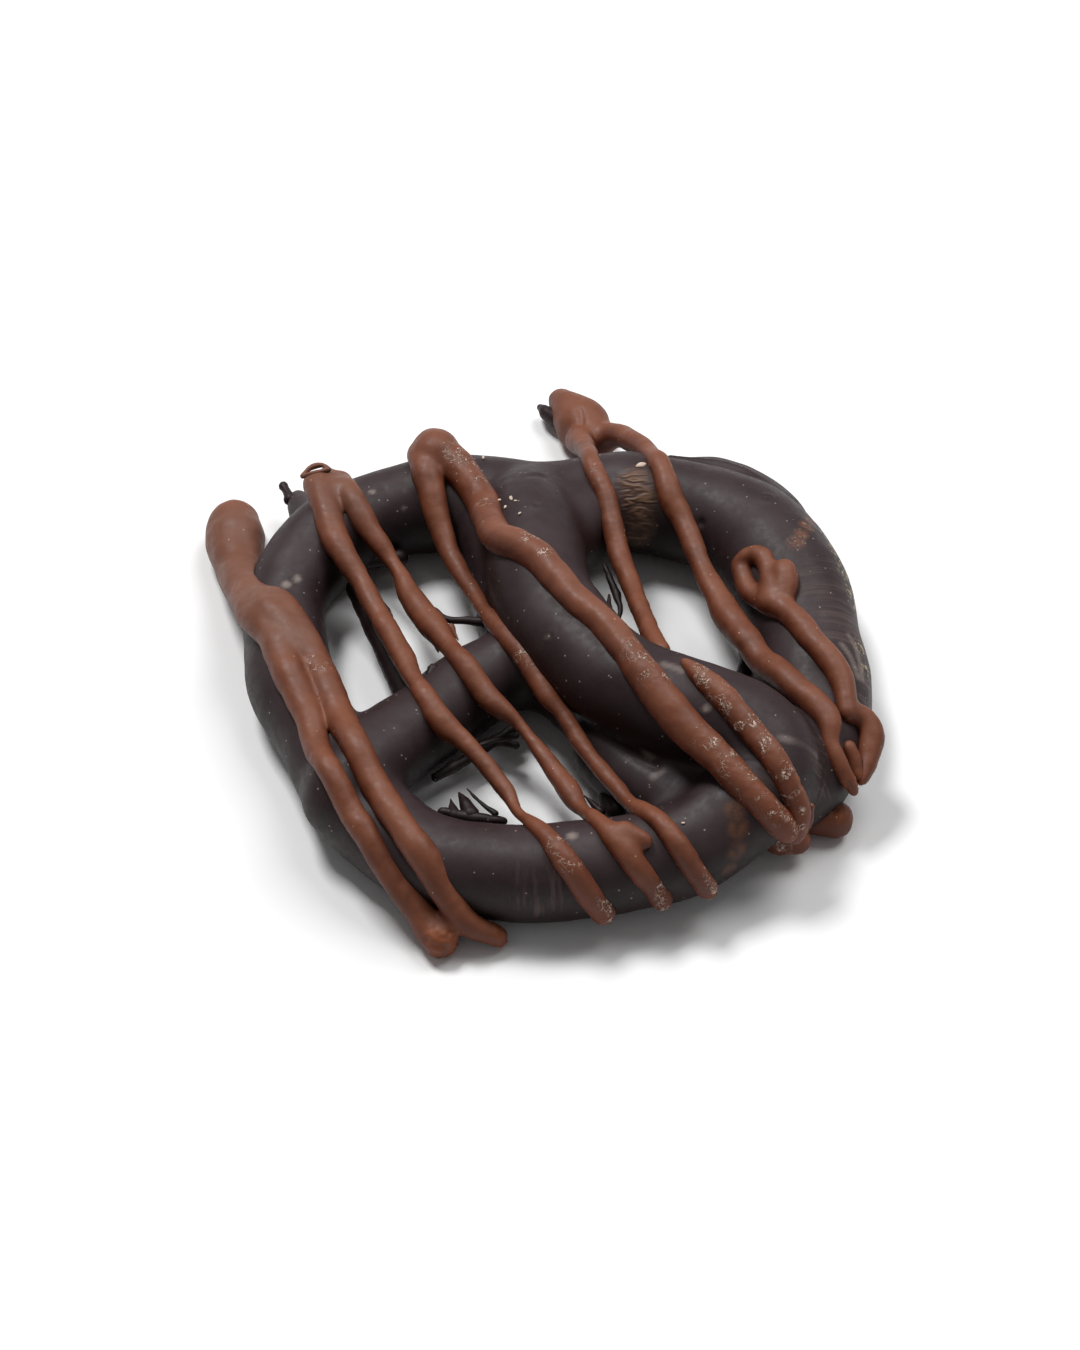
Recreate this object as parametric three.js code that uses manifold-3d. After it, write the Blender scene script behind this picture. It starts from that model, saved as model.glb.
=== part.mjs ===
// A twisted pretzel in dark chocolate, with milk chocolate drizzled over it in a zigzag.
// Millimetres, +Z up. The pretzel lies on its flat underside at z = 0, and the zigzag's
// strands run from the far edge (+Y) to the near edge (-Y).
import * as THREE from "three";
import { mergeVertices } from "three/addons/utils/BufferGeometryUtils.js";
import Module from "manifold-3d";

// ---- Driving dimensions -------------------------------------------------------------

// Plan position of the middle of the whole outline, which becomes the origin.
const outlineCentre = { x: -1.35, y: 8.89 };

// Meshing: how many sides a round section has, and how far apart the rings are.
const doughSides = 16;
const doughRing = 4.2;
const poolSides = 12;
const poolRing = 4.2;
const drizzleSides = 7;
const drizzleRing = 3.2;
const capRings = 2;

// How a strand of drizzle lies: spacing of the points that are laid, how far its middle is
// above what it lies on (in strand radii), the sag of a free span (share of its length),
// the slope at which it lets go of a shoulder, and the length over which bends are eased.
const layStep = 0.5;
const lift = 0.25;
const sagShare = 0.05;
const lettingGoSlope = 0.85;
const easeLength = 2;
const floorRest = 0.7;

// The dough rope in its chocolate coat, as [x, y, height of its middle, radius].
const rope = {
  // End on the far rim, over the middle, round the right-hand turn to the near lobe.
  upperArm: [
    [-1.5, 31.5, 6, 5.7], [-1.5, 27, 9, 5.8], [-1, 23, 10.3, 6.2], [-0.5, 16, 11.2, 6.5],
    [0.5, 7.5, 12, 6.5], [4.5, -1, 12.5, 6.4], [10, -7.5, 12.5, 6.4], [17, -11.5, 12.3, 6.5],
    [23.5, -14, 11.8, 6.5], [27.5, -17.5, 11, 6.3], [27.5, -21.5, 9.6, 6],
    [23.5, -25, 7.8, 5.8], [17, -29, 6.2, 5.7], [8, -31, 5.5, 5.8],
  ],
  // Near lobe, left rim, far rim and right lobe.
  rim: [
    [8, -31, 5.5, 5.8], [-2.5, -32, 5.5, 5.8], [-12, -30.5, 5.5, 5.6], [-18.5, -26, 5.5, 5.7],
    [-24, -18.5, 5.5, 5.6], [-28, -9.5, 5.5, 5.5], [-31.5, -2, 5.5, 5.8], [-33, 5, 5.5, 5.5],
    [-33.5, 12, 5.5, 5.3], [-32, 19.5, 5.6, 5.8], [-27, 26, 5.8, 6.1], [-20, 30.5, 5.8, 6],
    [-11, 32.5, 5.8, 6.7], [0, 32, 5.8, 5.8], [13, 32, 6.2, 6.9], [20, 30, 6.5, 6.8],
    [25.5, 27, 6.8, 7], [30, 22, 6.8, 7.8], [33, 14.5, 6.6, 7.9], [34.5, 6, 6.3, 6.9],
    [35, -2, 6, 7.3],
  ],
  // Right lobe, under the turn, back over the middle to the end on the left rim.
  lowerArm: [
    [35, -2, 6, 7.3], [35, -10, 5.7, 6.4], [32, -17, 5.4, 6.2], [26, -20, 5, 5.6],
    [20.5, -17, 5.2, 5.6], [15.5, -13, 5.4, 5.7], [10.5, -8.5, 5.6, 5.8], [5.5, -3, 5.8, 5.6],
    [1, 1, 6, 5.5], [-4, 1, 6, 5.4], [-8.5, -2, 5.8, 5.3], [-13, -6.5, 5.8, 5.3],
    [-18.5, -12.5, 6.2, 5.4], [-22, -17.5, 7.2, 5.4], [-24, -21, 7.2, 5.4],
  ],
};

// Dark chocolate that pooled where ropes meet and set there, and what ran off the coat.
const pools = {
  farLeftCorner: [[-6.5, 28, 7, 5.2], [-4, 17, 5.5, 5], [-2.5, 5, 5.5, 5]],
  farRightCorner: [[5.5, 28, 7.2, 5.5], [3.5, 23, 8, 5.5]],
  nearPool: [[8.5, -12.5, 4.8, 4.6], [12.5, -16.5, 4.6, 4.8], [20.5, -23.5, 5, 5]],
  rightCorner: [[30, 2.5, 3, 3], [29.5, -4, 3.4, 4], [28, -10, 4.2, 4.6]],
  rimFold: [
    [14.5, 33.5, 5.5, 3.9], [20.5, 34.5, 6, 4.8], [26, 33.5, 5.8, 4.8], [31, 29, 5.4, 5.2],
    [33, 25.5, 5.4, 4.4],
  ],
  cornerLump: [[-33.5, 35, 4.2, 1.6], [-32, 32, 4.4, 2.6], [-29.5, 28.5, 5, 3.4]],
};

// A thread of dark chocolate that hangs across the left opening.
const threads = {
  leftThread: [[-24.5, 16.5, 5.2, 1.3], [-20, 6, 4.6, 1.7], [-16, -4, 4.8, 2.2]],
};

// The drizzle, strand by strand, as [x, y, radius]. A fourth number holds the strand's
// middle at that height; without it the strand lies on the rope or hangs across a gap.
const drizzle = {
  leftPuddle: [
    [-42, 31, 3.6, 2.8], [-41.5, 27.5, 4.2, 3], [-40.5, 21, 3.1, 4], [-38.5, 13.5, 2.6, 7],
    [-35.5, 7.5, 2.6, 10.3], [-32, 1.5, 2.4], [-30.5, -1.5, 1.9],
  ],
  leftOuter: [
    [-38.5, 12, 2, 7.6], [-37, 7, 2.2, 10], [-33.5, 1, 2.2], [-31.5, -5, 2.2], [-29, -11, 1.8],
    [-26, -20.5, 1.6], [-20, -30.5, 1.6, 8.8], [-14, -37, 1.8, 3.4], [-12, -39, 2.4, 2],
  ],
  leftInner: [
    [-36.5, 13, 1.9, 7.4], [-34, 8, 2.2, 10.3], [-31, 2.5, 2.2], [-27.5, -4.5, 2],
    [-24.5, -12.5, 1.9], [-22, -19, 1.8], [-16.5, -29.5, 1.8], [-13.5, -33.5, 1.8, 10],
    [-9, -38, 1.6, 3.8], [-5, -38.5, 1.3, 1.6],
  ],
  secondLeft: [
    [-30, 30.5, 2, 11], [-29, 27, 2, 12], [-27, 20, 1.9, 10.8], [-23.5, 13.5, 1.4, 9.3],
    [-20.5, 7, 1.4, 9], [-17.5, 0, 1.5, 9.7], [-15.5, -6, 1.2, 11], [-12.5, -11.5, 1.6],
    [-8, -16, 1.1, 9], [-4, -21.5, 1.1, 8], [-2.5, -25.5, 0.7, 8.2], [0, -30, 1.1],
    [3, -34.5, 1.5], [5.5, -36.5, 1.6, 7.5], [7.5, -37, 1.5, 4.2],
  ],
  secondRight: [
    [-27, 32, 1.4, 10.4], [-26, 28.5, 1.6, 11.7], [-23.5, 23.5, 1.7], [-21.5, 20.5, 1.5, 9.6],
    [-19, 17, 0.9, 8.5], [-17, 12, 1.6, 8.3], [-14, 6.5, 1.9, 8.6], [-11.5, 1, 1.2, 10],
    [-9, -4, 1.6], [-5.5, -8.5, 1.4, 10], [-2.5, -11, 0.8, 8.6], [0, -14.5, 1, 7.7],
    [3.5, -21, 1.5, 7.7], [5.5, -25.5, 0.8, 8.2], [8.5, -31, 1.5], [11.5, -34.5, 1.5, 9.8],
    [14.5, -35.5, 1.4, 5],
  ],
  secondWeb: [[-29, 33, 1.5, 10], [-28, 30.5, 1.6, 11], [-27, 28, 1.4, 12]],
  secondSpur: [[10, -31, 1.5], [12.5, -32, 1]],
  thirdTongue: [[-15, 42, 2.8, 2.2], [-15, 40, 3.2, 5.2], [-14.5, 37.5, 3.3, 9.5], [-14, 34.5, 3.3]],
  thirdLeft: [
    [-16, 35.5, 2.2], [-15, 30, 2], [-13, 23, 1.6, 8.6], [-11, 17.5, 1.3, 8],
    [-8, 10.5, 1.1, 8.8], [-7, 7.5, 1, 9.8], [-4.5, 2, 1.5, 11.7], [-1.5, -3, 1.6, 12],
    [1, -8, 1.5, 11], [2.5, -10, 1.1, 10.3], [6, -16, 1.1, 8.8], [9, -20.5, 1.1, 8.4],
    [11, -24.5, 1, 9.3], [14, -29, 1.3], [18, -34, 1.4, 9.2], [20, -34.5, 1.3, 5.6],
  ],
  thirdRight: [
    [-13, 34.5, 2.4], [-9.5, 29.5, 2.2], [-7.5, 25, 2.2], [-6.5, 19, 2.1], [-5, 14, 2.1],
    [-2.5, 11, 2.1], [0, 8, 2.1], [4.5, 0.5, 1.9], [8.5, -4.5, 1.9], [12, -11, 2],
    [15.5, -16, 2.3, 17.4], [21.5, -22.5, 2, 15.3], [27, -27.5, 1.8, 12.5], [29.5, -28.5, 1.7, 9.4],
  ],
  farPuddle: [[3, 57.5, 1.9, 2.4], [4.5, 54.5, 3, 2.8], [6, 51.5, 3.9, 3], [7.5, 48, 3.3, 3.4]],
  fourthLeft: [
    [5.5, 46.5, 2, 4.6], [6, 43, 1.5, 7], [6.5, 38, 1.3, 9.8], [7, 33, 1.3], [9, 26.5, 1.4],
    [10, 21, 1.5, 9], [12, 12, 1.3, 9.6], [14, 1, 1.3, 12.4], [15, -4, 1.3, 14.6],
  ],
  fourthLeftEnd: [
    [17.5, -9.5, 0.6], [19.5, -12.5, 1.4], [21, -14, 1.6], [25, -19, 1.6], [29.5, -25, 1.5, 14],
    [31, -27, 1.5, 10.8], [30.5, -28, 1.6, 8.4],
  ],
  fourthRight: [
    [8.5, 47.5, 2.5, 3.8], [10.5, 46, 1.7, 6], [14, 39, 1.4, 10.2], [15.5, 34, 1.4, 11.8],
    [17.5, 26.5, 1.7], [19, 23.5, 1.6, 10.8], [21.5, 15.5, 1.4, 9.3], [24.5, 7, 2, 9.2],
    [27.5, 0, 1.8, 10.6], [31, -6.5, 1.8], [35.5, -13.5, 1.7], [35.5, -16.5, 1, 11.4],
    [37, -19, 1.1, 9.6], [38.5, -20.5, 0.7, 7],
  ],
  curlOuter: [[29.5, 7, 1.5], [27.5, 9.5, 1.4], [26, 14.5, 1.3]],
  curlTop: [[26, 14.5, 1.3], [27.5, 15, 1.3], [29, 13.5, 1.3]],
  curlInner: [[29, 13.5, 1.3], [29.5, 11, 1.3], [30, 6.5, 1.8]],
  curlBump: [[31, 6, 1.4], [31.5, 8.5, 1.7], [31.5, 10.5, 1.8]],
  curlTail: [[29.5, 7, 1.9], [31.5, 4.5, 1.7], [34.5, -1.5, 1.6], [37.5, -7, 1.6], [38, -11.5, 1.3]],
  curlRing: [
    [38, -11.5, 1.3, 11.6], [39.5, -11, 1.5, 10.4], [41, -12.5, 1.6, 9.4], [40.5, -16, 1.5, 8],
    [39.5, -19, 0.8, 7.4],
  ],
  rightStub: [[33.5, -20.5, 2.2, 2.3], [36.5, -21, 2.3, 2.3]],
  nearStub: [[29, -25, 1.8, 3.2], [31.5, -25, 1.7, 3]],
};

const doughLook = { color: 0x3a2c2b, roughness: 0.42, metalness: 0 };

// ---- Paths --------------------------------------------------------------------------

// Even points along a smooth curve through rows of [x, y, z], with what else each row
// holds read off in step by the function `between`.
function along(rows, spacing, between) {
  const corners = rows.map(([x, y, z]) => new THREE.Vector3(x, y, z));
  const curve = new THREE.CatmullRomCurve3(corners, false, "centripetal");
  const count = Math.max(2, Math.round(curve.getLength() / spacing));
  return Array.from({ length: count + 1 }, (_, i) => {
    const t = curve.getUtoTmapping(i / count);
    const place = t * (rows.length - 1);
    const row = Math.min(Math.floor(place), rows.length - 2);
    return { centre: curve.getPoint(t), ...between(row, place - row) };
  });
}

function roundPath(rows, spacing) {
  const between = (row, share) => ({
    radius: THREE.MathUtils.lerp(rows[row][3], rows[row + 1][3], share),
  });
  return along(rows, spacing, between);
}

const ropeSamples = [...Object.values(rope), ...Object.values(pools)]
  .flatMap((rows) => roundPath(rows, layStep));

// Height at which a strand's middle rides over the rope at a plan point, or null where no
// rope is below it.
function ridingHeight(x, y, radius) {
  let height = null;
  for (const sample of ropeSamples) {
    const reach = sample.radius + lift * radius;
    const away = (sample.centre.x - x) ** 2 + (sample.centre.y - y) ** 2;
    if (away < reach * reach) {
      height = Math.max(height ?? 0, sample.centre.z + Math.sqrt(reach * reach - away));
    }
  }
  return height;
}

// Where a strand crosses a gap it leaves each rope at its shoulder and sags in between.
function spanGaps(heights, step) {
  const spanned = heights.slice();
  const first = heights.findIndex((height) => height !== null);
  const last = heights.findLastIndex((height) => height !== null);
  for (let i = first; i <= last; i += 1) {
    if (heights[i] !== null) {
      continue;
    }
    let from = i - 1;
    while (from > first && (heights[from - 1] - heights[from]) / step > lettingGoSlope) {
      from -= 1;
    }
    while (heights[i] === null) {
      i += 1;
    }
    let to = i;
    while (to < last && (heights[to + 1] - heights[to]) / step > lettingGoSlope) {
      to += 1;
    }
    for (let k = from + 1; k < to; k += 1) {
      const share = (k - from) / (to - from);
      const chord = THREE.MathUtils.lerp(heights[from], heights[to], share);
      spanned[k] = chord - 4 * share * (1 - share) * sagShare * (to - from) * step;
    }
  }
  return spanned;
}

function eased(values, reach) {
  return values.map((_, i) => {
    const side = Math.min(reach, i, values.length - 1 - i);
    const window = values.slice(i - side, i + side + 1);
    return window.reduce((sum, value) => sum + value, 0) / window.length;
  });
}

// A strand of drizzle laid over the rope: its plan path with a height at every point.
function laidPath(rows) {
  const plan = rows.map(([x, y]) => [x, y, 0]);
  const between = (row, share) => {
    const [, , radius, height] = rows[row];
    const [, , nextRadius, nextHeight] = rows[row + 1];
    const isHeld = height !== undefined && nextHeight !== undefined;
    return {
      radius: THREE.MathUtils.lerp(radius, nextRadius, share),
      held: isHeld ? THREE.MathUtils.lerp(height, nextHeight, share) : null,
    };
  };
  const samples = along(plan, layStep, between);
  const step = samples[0].centre.distanceTo(samples[1].centre);
  const riding = samples.map(({ centre, radius }) => ridingHeight(centre.x, centre.y, radius));
  const spanned = spanGaps(riding, step);
  const heights = samples.map(({ radius, held }, i) => held ?? spanned[i] ?? floorRest * radius);
  eased(heights, Math.round(easeLength / step)).forEach((height, i) => {
    samples[i].centre.z = height;
  });
  return samples;
}

// ---- Solids -------------------------------------------------------------------------

const wasm = await Module();
wasm.setup();

function solidFrom(geometry) {
  geometry.deleteAttribute("normal");
  geometry.deleteAttribute("uv");
  const merged = mergeVertices(geometry, 1e-4);
  const corners = merged.index.array;
  const kept = [];
  for (let i = 0; i < corners.length; i += 3) {
    const [a, b, c] = corners.slice(i, i + 3);
    if (a !== b && b !== c && c !== a) {
      kept.push(a, b, c);
    }
  }
  return new wasm.Manifold(new wasm.Mesh({
    numProp: 3,
    vertProperties: new Float32Array(merged.attributes.position.array),
    triVerts: new Uint32Array(kept),
  }));
}

// A round-ended capsule bent along laid or drawn samples, its radius following theirs.
function bentCapsule(samples, sides, ringSpacing) {
  const last = samples.length - 1;
  let length = 0;
  for (let i = 1; i <= last; i += 1) {
    length += samples[i].centre.distanceTo(samples[i - 1].centre);
  }
  const rings = Math.max(1, Math.round(length / ringSpacing));
  const geometry = new THREE.CapsuleGeometry(1, length, capRings, sides, rings);
  const position = geometry.attributes.position;
  const up = new THREE.Vector3(0, 0, 1);
  for (let i = 0; i < position.count; i += 1) {
    const height = position.getY(i) + length / 2;
    const along01 = THREE.MathUtils.clamp(height / length, 0, 1);
    const beyond = height - along01 * length;
    const place = along01 * last;
    const before = Math.min(Math.floor(place), last - 1);
    const share = place - before;
    const here = samples[before];
    const next = samples[before + 1];
    const radius = THREE.MathUtils.lerp(here.radius, next.radius, share);
    const back = samples[Math.max(before - 1, 0)].centre;
    const ahead = samples[Math.min(before + 2, last)].centre;
    const tangent = ahead.clone().sub(back).normalize();
    const side = tangent.clone().cross(up).normalize();
    const over = side.clone().cross(tangent);
    const point = here.centre.clone().lerp(next.centre, share);
    point.addScaledVector(side, position.getX(i) * radius);
    point.addScaledVector(over, position.getZ(i) * radius);
    point.addScaledVector(tangent, beyond * radius);
    position.setXYZ(i, point.x, point.y, point.z);
  }
  return solidFrom(geometry);
}

function floorBlock() {
  const wide = 200;
  const deep = 20;
  const block = new THREE.BoxGeometry(wide, wide, deep);
  block.translate(0, 0, -deep / 2);
  return solidFrom(block);
}

function pretzelSolid() {
  const dough = Object.values(rope).map((rows) => (
    bentCapsule(roundPath(rows, layStep), doughSides, doughRing)
  ));
  const pooled = Object.values(pools).map((rows) => (
    bentCapsule(roundPath(rows, layStep), poolSides, poolRing)
  ));
  const hanging = Object.values(threads).map((rows) => (
    bentCapsule(roundPath(rows, layStep), drizzleSides, drizzleRing)
  ));
  const strands = Object.values(drizzle).map((rows) => (
    bentCapsule(laidPath(rows), drizzleSides, drizzleRing)
  ));
  const pieces = [...dough, ...pooled, ...hanging, ...strands];
  const joined = pieces.reduce((whole, piece) => whole.add(piece));
  return joined.subtract(floorBlock());
}

function meshFrom(solid, name, look) {
  const { vertProperties, triVerts } = solid.getMesh();
  const geometry = new THREE.BufferGeometry();
  geometry.setAttribute("position", new THREE.BufferAttribute(vertProperties, 3));
  geometry.setIndex(new THREE.BufferAttribute(triVerts, 1));
  geometry.computeVertexNormals();
  const mesh = new THREE.Mesh(geometry, new THREE.MeshStandardMaterial(look));
  mesh.name = name;
  return mesh;
}

// ---- Object -------------------------------------------------------------------------

const pretzel = meshFrom(pretzelSolid(), "pretzel", doughLook);
pretzel.position.set(-outlineCentre.x, -outlineCentre.y, 0);

const group = new THREE.Group();
group.add(pretzel);

export default group;
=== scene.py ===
import math
from dataclasses import dataclass
from functools import partial

import bmesh
import bpy
from mathutils import Matrix, Vector, kdtree, noise
from mathutils.geometry import interpolate_bezier


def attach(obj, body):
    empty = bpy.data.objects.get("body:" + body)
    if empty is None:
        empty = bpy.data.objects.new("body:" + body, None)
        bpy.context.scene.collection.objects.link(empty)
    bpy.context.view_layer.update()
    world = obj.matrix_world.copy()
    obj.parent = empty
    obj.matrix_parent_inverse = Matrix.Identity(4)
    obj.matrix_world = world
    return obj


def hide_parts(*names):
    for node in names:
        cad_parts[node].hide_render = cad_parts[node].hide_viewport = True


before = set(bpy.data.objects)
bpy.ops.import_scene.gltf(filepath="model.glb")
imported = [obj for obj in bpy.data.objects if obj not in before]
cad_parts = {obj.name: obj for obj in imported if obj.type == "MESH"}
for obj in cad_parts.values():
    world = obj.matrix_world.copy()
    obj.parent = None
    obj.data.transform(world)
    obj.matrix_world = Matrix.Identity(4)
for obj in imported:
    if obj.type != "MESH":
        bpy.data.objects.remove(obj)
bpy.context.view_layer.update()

# ---- Sizes, in millimetres on the plan ------------------------------------------------

# The plan's zero is near the crossing of the arms. The frame's is the middle of the outline.
OUTLINE_CENTRE = Vector((-1.35, 8.89, 0.0))
METRES = 0.001
PLAN_TO_FRAME = Matrix.Scale(METRES, 4) @ Matrix.Translation(-OUTLINE_CENTRE)

# How far apart stations are along a rope or strand, and how many sides a ring has.
ROPE_GAP = 1.0
STRAND_GAP = 0.4
THREAD_GAP = 0.3
COAT_SIDES = 32
DRIZZLE_SIDES = 16
THREAD_SIDES = 10

# Size of the cells in which overlapping ropes or strands are fused to one skin.
COAT_CELL = 0.45
DRIZZLE_CELL = 0.26

# How often each skin is softened, which rounds its creases, and the thickness it regains.
COAT_SOFTENING = 45
COAT_REGAIN = 0.17
DRIZZLE_SOFTENING = 20
DRIZZLE_REGAIN = 0.1

# How a strand lies: its middle above what it lies on (in strand radii), the sag of a free
# span (share of its length), the slope at which it lets go of a shoulder, the length over
# which bends are eased, and its middle above the table where it lies there (in radii).
LIFT = 0.25
SAG_SHARE = 0.05
LETTING_GO_SLOPE = 0.85
EASE_LENGTH = 2.0
TABLE_REST = 0.7

# The length over which a change of radius is eased, and how far apart the points are along a
# crease or scratch.
RADIUS_EASE = 0.8
LINE_GAP = 0.2

# How finely a curve is walked before even stations are picked from it, and the angles from
# the rim at which the rings of a round end lie.
CURVE_STEPS = 40
CAP_ANGLES = (25, 50, 70, 84)

# A mark no longer shows this many times its size from its middle.
MARK_REACH = 2.5

# The dough rope in its coat, as (x, y, height of its middle, radius).
ROPE = {
    # End on the far rim, over the middle, round the right-hand turn to the near lobe.
    "upper_arm": [
        (-1.5, 31.5, 6, 5.7), (-1.5, 27, 9, 5.8), (-1, 23, 10.3, 6.2), (-0.5, 16, 11.2, 6.5),
        (0.5, 7.5, 12, 6.5), (4.5, -1, 12.5, 6.4), (10, -7.5, 12.5, 6.4), (17, -11.5, 12.3, 6.5),
        (23.5, -14, 11.8, 6.5), (27.5, -17.5, 11, 6.3), (27.5, -21.5, 9.6, 6),
        (23.5, -25, 7.8, 5.8), (17, -29, 6.2, 5.7), (8, -31, 5.5, 5.8),
    ],
    # Near lobe, left rim, far rim and right lobe.
    "rim": [
        (8, -31, 5.5, 5.8), (-2.5, -32, 5.5, 5.8), (-12, -30.5, 5.5, 5.6), (-18.5, -26, 5.5, 5.7),
        (-24, -18.5, 5.5, 5.6), (-28, -9.5, 5.5, 5.5), (-31.5, -2, 5.5, 5.8), (-33, 5, 5.5, 5.5),
        (-33.5, 12, 5.5, 5.3), (-32, 19.5, 5.6, 5.8), (-27, 26, 5.8, 6.1), (-20, 30.5, 5.8, 6),
        (-11, 32.5, 5.8, 6.7), (0, 32, 5.8, 5.8), (13, 32, 6.2, 6.9), (20, 30, 6.5, 6.8),
        (25.5, 27, 6.8, 7), (30, 22, 6.8, 7.8), (33, 14.5, 6.6, 7.9), (34.5, 6, 6.3, 6.9),
        (35, -2, 6, 7.3),
    ],
    # Right lobe, under the turn, back over the middle to the end on the left rim.
    "lower_arm": [
        (35, -2, 6, 7.3), (35, -10, 5.7, 6.4), (32, -17, 5.4, 6.2), (26, -20, 5, 5.6),
        (20.5, -17, 5.2, 5.6), (15.5, -13, 5.4, 5.7), (10.5, -8.5, 5.6, 5.8), (5.5, -3, 5.8, 5.6),
        (1, 1, 6, 5.5), (-4, 1, 6, 5.4), (-8.5, -2, 5.8, 5.3), (-13, -6.5, 5.8, 5.3),
        (-18.5, -12.5, 6.2, 5.4), (-22, -17.5, 7.2, 5.4), (-24, -21, 7.2, 5.4),
    ],
}

# Dark chocolate that pooled where ropes meet and set there, and what ran off the coat.
COAT_POOLS = {
    "far_left_corner": [(-6.5, 28, 7, 5.2), (-4, 17, 5.5, 5), (-2.5, 5, 5.5, 5)],
    "far_right_corner": [(5.5, 28, 7.2, 5.5), (3.5, 23, 8, 5.5)],
    "near_pool": [(8.5, -12.5, 4.8, 4.6), (12.5, -16.5, 4.6, 4.8), (20.5, -23.5, 5, 5)],
    "right_corner": [(30, 2.5, 3, 3), (29.5, -4, 3.4, 4), (28, -10, 4.2, 4.6)],
    "rim_fold": [
        (14.5, 33.5, 5.5, 3.9), (20.5, 34.5, 6, 4.8), (26, 33.5, 5.8, 4.8), (31, 29, 5.4, 5.2),
        (33, 25.5, 5.4, 4.4),
    ],
    "corner_lump": [(-33.5, 35, 4.2, 1.6), (-32, 32, 4.4, 2.6), (-29.5, 28.5, 5, 3.4)],
}

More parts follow.
